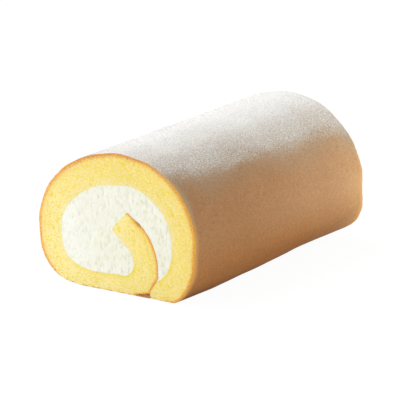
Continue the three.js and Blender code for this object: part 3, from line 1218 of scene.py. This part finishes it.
def sugar_amount(w, place, relief):
    """How thickly icing sugar lies: all over the crown, thinning out where the sides get steep."""
    _, y, _ = w.split(place)
    drift = centred(w.noise(place, 30 * MM, detail=1.0), 6 * DEGREE)
    fray = centred(w.noise(place, 7 * MM, detail=3.0), 4 * DEGREE)
    slope = w.stored("slope") + (drift + fray)
    along = y * (1 / (SPONGE_HIGH.y - SPONGE_LOW.y)) + 0.5
    retreat = w.curve(along, [(at, 0.5 + turn / RETREAT_SPAN) for at, turn in SUGAR_RETREAT]) - 0.5
    slope = retreat * (-RETREAT_SPAN * DEGREE) + slope

    middle = w.hill(along, 0.37, 0.13)
    thin = middle * w.hill(slope, 57 * DEGREE, 7 * DEGREE)
    far = w.ramp(along, 0.78, 0.88, 0.0, 0.7) * w.hill(slope, 41 * DEGREE, 8 * DEGREE)
    thick = w.math("MAXIMUM", middle * w.hill(slope, 44 * DEGREE, 7 * DEGREE), far)
    slope = (thick - thin) * (5 * DEGREE) + slope
    slope = slope - w.ramp(y, SPONGE_LOW.y, 0.3 * SPONGE_LOW.y, 6 * DEGREE, 0.0)
    slope = slope + w.ramp(y, 0.5 * SPONGE_HIGH.y, SPONGE_HIGH.y, 0.0, 2.5 * DEGREE)
    border = relief.sugar_border
    amount = 0.0
    for share, start, end in SUGAR_STEPS:
        amount = amount + w.ramp(slope, border + start * DEGREE, border + end * DEGREE, 0.0, share)
    return amount


def cream_relief(relief):
    """Lumps and tall pits in the cut cream."""

    def build(w, place):
        flat = across_roll(w, place)
        lumps = centred(w.noise(flat, 2.2 * MM, detail=3.0), relief.cream_lump)
        pits = pit_field(w, flat) * (-0.5 * relief.cream_lump)
        broad = centred(w.noise(flat, 14 * MM), 0.4 * MM)
        return (lumps + pits + broad) * w.stored("cut"), {}

    return build


def seam_relief(relief):
    """Folds in the crumpled skin, standing a little out of the cut ends."""

    def build(w, place):
        folds = w.noise(w.vector("MULTIPLY", place, (1, 0.3, 1)), 2.2 * MM, detail=3.0)
        return folds * relief.seam_crumple, {}

    return build


# ---------------------------------------------------------------- the pieces

SKIN_ROW = 0.001
SKIN_SLOT = 1
NO_SUGAR = -1.5


class ROLL_OT_add_sponge(bpy.types.Operator):
    """Adds the sponge: one browned sheet rolled round the cream, with both ends cut"""

    bl_idname = "swiss_roll.add_sponge"
    bl_label = "Add the sponge"

    def execute(self, context):
        sizes, relief, tints = settings(context)
        section = Section(sizes)
        skin, lining, outside = section.sheet()
        rows = round(sizes.sheet / sizes.cell)
        slices = round(sizes.length / sizes.slice)

        def open_skin(column, row):
            return (column <= outside) & (row < SKIN_ROW)

        piece = rolled_layer("sponge_sheet", skin, lining, rows, sizes, slices, open_skin)
        mesh = piece.data
        bow_column(mesh, skin, lining, 0, section.flap_end(skin, lining), sizes.end_reach / sizes.cell)
        bow_column(mesh, skin, lining, -1, section.tongue(0)["tip"], sizes.tip_rounding / sizes.cell)
        self.mark(mesh, section, relief, skin, lining, outside)
        move_points(mesh, uneven(points_of(mesh), sizes))
        mesh.materials.append(crumb_material(tints, relief, sizes))
        mesh.materials.append(skin_material(tints, sizes))
        self.paint(piece)
        add_relief(piece, "sponge relief", sponge_relief(relief))
        finish_piece(piece, "sponge", "sponge", sharp=55)
        return {"FINISHED"}

    @staticmethod
    def mark(mesh, section, relief, skin, lining, outside):
        """Stores where each point lies in the sheet, and how browned, open, steep and rough it is there."""
        sizes = section.sizes
        _, y, z = points_of(mesh).T
        row = read_attribute(mesh, "row")
        column = read_attribute(mesh, "column").astype(int)
        on_end = np.abs(y) > sizes.length / 2 - 0.01 * MM
        on_skin = (row < SKIN_ROW) & (column <= outside)
        off_table = np.clip((z - 0.5 * MM) / (4 * MM), 0, 1)
        thickness = np.hypot(*(lining - skin).T)[column]
        depth = row * thickness
        along = lengths((skin + lining) / 2)
        from_tip = (along[-1] - along)[column]
        rough = np.clip(depth / (1.2 * MM), 0.1, 1) * np.clip((1 - row) / 0.04, 0.3, 1)

        run_x, run_z = np.gradient(skin, axis=0).T
        steep = np.abs(np.arctan2(-run_x, run_z) - relief.thickest) - relief.thick_spread
        slope = np.pi / 2 - np.maximum(steep, 0)

        x, height = skin.T
        inner = np.arange(len(skin)) > outside
        gold = ease(x, 22 * MM, 42 * MM) * ~inner
        crown = ease(height, 0.5 * sizes.height, 0.85 * sizes.height) * ~inner
        foot = (1 - ease(height, 1 * MM, 7 * MM)) * (1 - gold)
        golden_extra = (sizes.golden_rim - sizes.rim) * gold
        crown_extra = (sizes.crown_rim - sizes.rim) * crown
        width = sizes.rim + np.maximum(golden_extra, crown_extra)
        width -= sizes.worn_rim * gold * (1 - ease(height, 10 * MM, 28 * MM))
        width -= 0.5 * sizes.rim * foot
        from_knee = np.hypot(*(skin - section.knee_place()).T)
        knee = inner * hump(from_knee, 0, 2.2 * MM)
        width = np.where(inner, sizes.inner_rim * (1 + 0.5 * knee), width)

        marks = {
            "along": along[column],
            "depth": depth,
            "by_cream": np.minimum((1 - row) * thickness, from_tip),
            "from_tip": from_tip,
            "cut": np.where(on_end, rough, 0),
            "open": np.where(on_skin & ~on_end, off_table, 0),
            "ragged": np.where(on_skin, np.where(on_end, 1, 0.3 * off_table), 0),
            "slope": np.where(column <= outside, slope[column], NO_SUGAR),
            "rim": depth / width[column],
            "gold": gold[column],
            "foot": (foot * ~inner)[column],
            "inner": inner[column],
            "knee": knee[column],
            "knee_side": (inner * hump(from_knee, 0, 7 * MM))[column],
        }
        for name, values in marks.items():
            write_attribute(mesh, name, values)

    @staticmethod
    def paint(piece):
        """Gives the skin's faces the skin's material, and leaves the crumb's on the rest."""
        mesh = piece.data
        row = read_attribute(mesh, "row")
        corners = numbers(mesh.loops, "vertex_index", np.int32)
        deepest = np.maximum.reduceat(row[corners], numbers(mesh.polygons, "loop_start", np.int32))
        choose(piece)
        select_only(mesh, "FACE", deepest < SKIN_ROW)
        piece.active_material_index = SKIN_SLOT
        with editing():
            bpy.ops.object.material_slot_assign()


class ROLL_OT_add_cream(bpy.types.Operator):
    """Adds the whipped cream that fills the roll"""

    bl_idname = "swiss_roll.add_cream"
    bl_label = "Add the cream"

    overlap = 0.12 * MM
    rows = 72

    def execute(self, context):
        sizes, relief, tints = settings(context)
        inner, outer = Section(sizes).filling(-self.overlap)
        piece = rolled_layer("cream_filling", inner, outer, self.rows, sizes)
        mesh = piece.data
        row = read_attribute(mesh, "row")
        width = np.hypot(*(outer - inner).T)[read_attribute(mesh, "column").astype(int)]
        from_border = np.minimum(row, 1 - row) * width
        write_attribute(mesh, "cut", np.clip(from_border / (0.8 * MM), 0.1, 1))
        move_points(mesh, uneven(points_of(mesh), sizes))
        mesh.materials.append(cream_material(tints))
        add_relief(piece, "cream relief", cream_relief(relief))
        finish_piece(piece, "cream", "cream", sharp=60)
        return {"FINISHED"}


class ROLL_OT_add_seam(bpy.types.Operator):
    """Adds the skin that is caught and crumpled in the seam under the roll"""

    bl_idname = "swiss_roll.add_seam"
    bl_label = "Add the seam"

    rows = 6
    slices = 60

    def execute(self, context):
        sizes, relief, tints = settings(context)
        lower, upper = Section(sizes).seam()

        def everywhere(column, row):
            return column >= 0

        piece = rolled_layer("seam_skin", lower, upper, self.rows, sizes, self.slices, everywhere)
        move_points(piece.data, uneven(points_of(piece.data), sizes))
        piece.data.materials.append(seam_material(tints))
        add_relief(piece, "seam relief", seam_relief(relief))
        finish_piece(piece, "sponge", sharp=50)
        return {"FINISHED"}


class ROLL_OT_add_crumbs(bpy.types.Operator):
    """Adds the few crumbs that cling to the lower rim of each cut end"""

    bl_idname = "swiss_roll.add_crumbs"
    bl_label = "Add the crumbs"

    count = 34
    size = 0.55 * MM
    near_share = 0.6
    seed = 11

    def execute(self, context):
        sizes, _, tints = settings(context)
        skin, _, _ = Section(sizes).sheet()
        rim = skin[(skin[:, 0] < 16 * MM) & (skin[:, 1] < 9 * MM)]
        draw = np.random.default_rng(self.seed)
        crumb = added(bpy.ops.mesh.primitive_ico_sphere_add, "loose_crumbs", subdivisions=2, radius=self.size)
        with editing():
            bpy.ops.transform.vertex_random(offset=0.28 * self.size, seed=self.seed)
        copies = []
        for _ in range(self.count):
            x, z = rim[draw.integers(len(rim))]
            end = -1 if draw.random() < self.near_share else 1
            grow = draw.uniform(0.35, 1)
            place = (x, end * sizes.length / 2, max(z, 0.6 * grow * self.size))
            choose(crumb)
            bpy.ops.object.duplicate()
            copy = bpy.context.object
            copy.location = uneven(np.array([place]), sizes)[0]
            copy.rotation_euler = draw.uniform(0, math.tau, 3)
            copy.scale = grow * draw.uniform(0.6, 1.1, 3)
            copies.append(copy)
        choose(crumb)
        bpy.ops.object.delete()
        choose(*copies)
        bpy.ops.object.join()
        bpy.ops.object.transform_apply(location=True, rotation=True, scale=True)
        piece = bpy.context.object
        piece.name = "loose_crumbs"
        piece.data.materials.append(crumbs_material(tints))
        lift_to_table(piece.data)
        finish_piece(piece, "sponge", sharp=40)
        return {"FINISHED"}


def scatter_tree(name, ground, grain, density, smallest, material, seed):
    """A geometry node tree that strews copies of a grain where the sugar lies, and makes them real."""

    def build(w, given):
        surface = w.get("GeometryNodeObjectInfo", {"Object": ground}, "Geometry")
        slot = {2: w.get("GeometryNodeInputMaterialIndex"), 3: SKIN_SLOT}
        on_skin = w.get("FunctionNodeCompare", slot, data_type="INT", operation="EQUAL")
        amount = w.ramp(w.stored("sugar"), 0.4, 1.0, 0.0, density)
        strew = {"Mesh": surface, "Selection": on_skin, "Density": amount, "Seed": seed}
        points = w.get("GeometryNodeDistributePointsOnFaces", strew, "Points")
        shape = w.get("GeometryNodeObjectInfo", {"Object": grain}, "Geometry")
        turns = {"Min": (0, 0, 0), "Max": (math.tau, math.tau, math.tau), "Seed": seed}
        turn = w.get("FunctionNodeRandomValue", turns, data_type="FLOAT_VECTOR")
        sizes = {2: smallest, 3: 1.0, "Seed": seed + 1}
        size = w.get("FunctionNodeRandomValue", sizes, 1, data_type="FLOAT")
        place = {"Points": points, "Instance": shape, "Rotation": turn, "Scale": size}
        placed = w.get("GeometryNodeInstanceOnPoints", place)
        real = w.get("GeometryNodeRealizeInstances", {"Geometry": placed})
        return {"Geometry": w.get("GeometryNodeSetMaterial", {"Geometry": real, "Material": material})}

    return new_group(name, "GeometryNodeTree", {"Geometry": "Geometry"}, {"Geometry": "Geometry"}, build)


class ROLL_OT_add_sugar(bpy.types.Operator):
    """Strews icing sugar over the crown, as loose grains and as clumps"""

    bl_idname = "swiss_roll.add_sugar"
    bl_label = "Add the icing sugar"

    def execute(self, context):
        _, relief, tints = settings(context)
        sponge = bpy.data.objects.get("sponge_sheet")
        if sponge is None:
            raise RuntimeError("the icing sugar lies on the sponge, so add the sponge first")
        white = sugar_material(tints)
        kinds = (
            # name, size, segments, rings, most grains on a square metre, smallest, seed
            ("sugar_grains", relief.grain, 4, 2, 0.96e6, 0.5, 7),
            ("sugar_clumps", relief.clump, 6, 4, 0.10e6, 0.35, 19),
        )
        for name, size, segments, rings, density, smallest, seed in kinds:
            grain = self.shape_grain(size, segments, rings)
            piece = added(bpy.ops.mesh.primitive_plane_add, name, size=size)
            apply_nodes(piece, scatter_tree(name, sponge, grain, density, smallest, white, seed))
            choose(grain)
            bpy.ops.object.delete()
            if not piece.data.polygons:
                raise RuntimeError(f"{name}: no grain fell on the roll")
            finish_piece(piece, "sponge")
        return {"FINISHED"}

    @staticmethod
    def shape_grain(size, segments, rings):
        """One lopsided grain, from a ball pressed and pushed out of true."""
        ball = bpy.ops.mesh.primitive_uv_sphere_add
        grain = added(ball, "grain_shape", segments=segments, ring_count=rings, radius=size / 2)
        with editing():
            bpy.ops.transform.resize(value=(1.0, 0.8, 0.7))
            bpy.ops.mesh.select_all(action="SELECT")
            bpy.ops.transform.vertex_random(offset=0.16 * size, seed=3)
        return grain


# ---------------------------------------------------------------- the stage


class ROLL_OT_set_stage(bpy.types.Operator):
    """Sets the table, the soft lights and the camera"""

    bl_idname = "swiss_roll.set_stage"
    bl_label = "Set the stage"

    azimuth = 34.53 * DEGREE
    elevation = 15.22 * DEGREE
    distance = 2.155
    aim = Vector((-2.2 * MM, 0, 31.6 * MM))
    lens = 360
    lights = (
        # name, place, size, power, colour
        ("key_light", (-1.05, 0.08, 1.0), 1.5, 24.3, (1.0, 0.995, 0.98)),
        ("front_light", (-0.55, -1.3, 0.45), 0.9, 7.75, (1.0, 0.985, 0.96)),
        ("far_light", (0.6, 0.55, 0.35), 0.4, 4.0, (1.0, 0.97, 0.92)),
    )
    table_size = 40
    seen_floor = 0.07
    floor_glow = 0.95
    daylight = 0.33

    def execute(self, context):
        _, _, tints = settings(context)
        self.add_floor(tints.floor)
        self.add_world(context.scene)
        for name, place, size, power, tint in self.lights:
            light = added(bpy.ops.object.light_add, name, type="AREA", location=place)
            light.rotation_euler = (self.aim - Vector(place)).to_track_quat("-Z", "Y").to_euler()
            light.data.size = size
            light.data.energy = power
            light.data.color = tint
        self.add_camera(context.scene)
        context.scene.view_settings.view_transform = "Standard"
        return {"FINISHED"}

    def add_floor(self, pale):
        """A wide plain table, that looks as bright as the room and shows only a faint shadow."""
        floor = added(bpy.ops.mesh.primitive_plane_add, "table", size=self.table_size)
        material, w, shader, _ = new_material(
            "pale_table", Roughness=1.0, Specular_IOR_Level=0.0, Emission_Color=(1, 1, 1, 1)
        )
        seen = w.get("ShaderNodeLightPath", output="Is Camera Ray")
        faint = (self.seen_floor, self.seen_floor, self.seen_floor, 1.0)
        w.plug(shader["Base Color"], w.mix(seen, pale, faint))
        w.plug(shader["Emission Strength"], seen * self.floor_glow)
        floor.data.materials.append(material)

    def add_world(self, scene):
        """Even white light from all round, and white behind the table's edge."""
        world = bpy.data.worlds.new("studio")
        world.use_nodes = True
        world.node_tree.nodes.clear()
        w = Wiring(world.node_tree)
        seen = w.get("ShaderNodeLightPath", output="Is Camera Ray")
        strength = seen * (1 - self.daylight) + self.daylight
        light = w.get("ShaderNodeBackground", {"Color": (1, 1, 1, 1), "Strength": strength})
        w.add("ShaderNodeOutputWorld", {"Surface": light})
        scene.world = world

    def add_camera(self, scene):
        """A long lens at the height of someone seated at the table."""
        a, e = self.azimuth, self.elevation
        back = Vector((math.sin(a) * math.cos(e), -math.cos(a) * math.cos(e), math.sin(e)))
        camera = added(bpy.ops.object.camera_add, "camera", location=self.aim + back * self.distance)
        camera.rotation_euler = (-back).to_track_quat("-Z", "Y").to_euler()
        camera.data.lens = self.lens
        camera.data.sensor_width = 36
        camera.data.clip_end = 60
        scene.camera = camera


# ---------------------------------------------------------------- the panel and the whole

OPERATORS = (
    ROLL_OT_add_sponge,
    ROLL_OT_add_cream,
    ROLL_OT_add_seam,
    ROLL_OT_add_crumbs,
    ROLL_OT_add_sugar,
    ROLL_OT_set_stage,
)
GROUPS = {"roll_sizes": RollSizes, "roll_relief": RollRelief, "roll_colours": RollColours}


class ROLL_PT_panel(bpy.types.Panel):
    """Lists the steps that build the cake"""

    bl_label = "Swiss roll"
    bl_idname = "ROLL_PT_panel"
    bl_space_type = "VIEW_3D"
    bl_region_type = "UI"
    bl_category = "Swiss roll"

    def draw(self, context):
        for operator in OPERATORS:
            self.layout.operator(operator.bl_idname)
        for name, kind in GROUPS.items():
            column = self.layout.column(align=True)
            for label in kind.__annotations__:
                column.prop(getattr(context.scene, name), label)


def register():
    """Registers the add-on's classes and its settings."""
    for item in (*GROUPS.values(), *OPERATORS, ROLL_PT_panel):
        bpy.utils.register_class(item)
    for name, kind in GROUPS.items():
        setattr(bpy.types.Scene, name, bpy.props.PointerProperty(type=kind))


def unregister():
    """Takes the add-on's classes and settings away."""
    for name in GROUPS:
        delattr(bpy.types.Scene, name)
    for item in reversed((*GROUPS.values(), *OPERATORS, ROLL_PT_panel)):
        bpy.utils.unregister_class(item)


def main():
    """Builds the cake and its stage."""
    register()
    bpy.ops.swiss_roll.add_sponge()
    bpy.ops.swiss_roll.add_cream()
    bpy.ops.swiss_roll.add_seam()
    bpy.ops.swiss_roll.add_crumbs()
    bpy.ops.swiss_roll.add_sugar()
    bpy.ops.swiss_roll.set_stage()


if __name__ == "__main__":
    main()
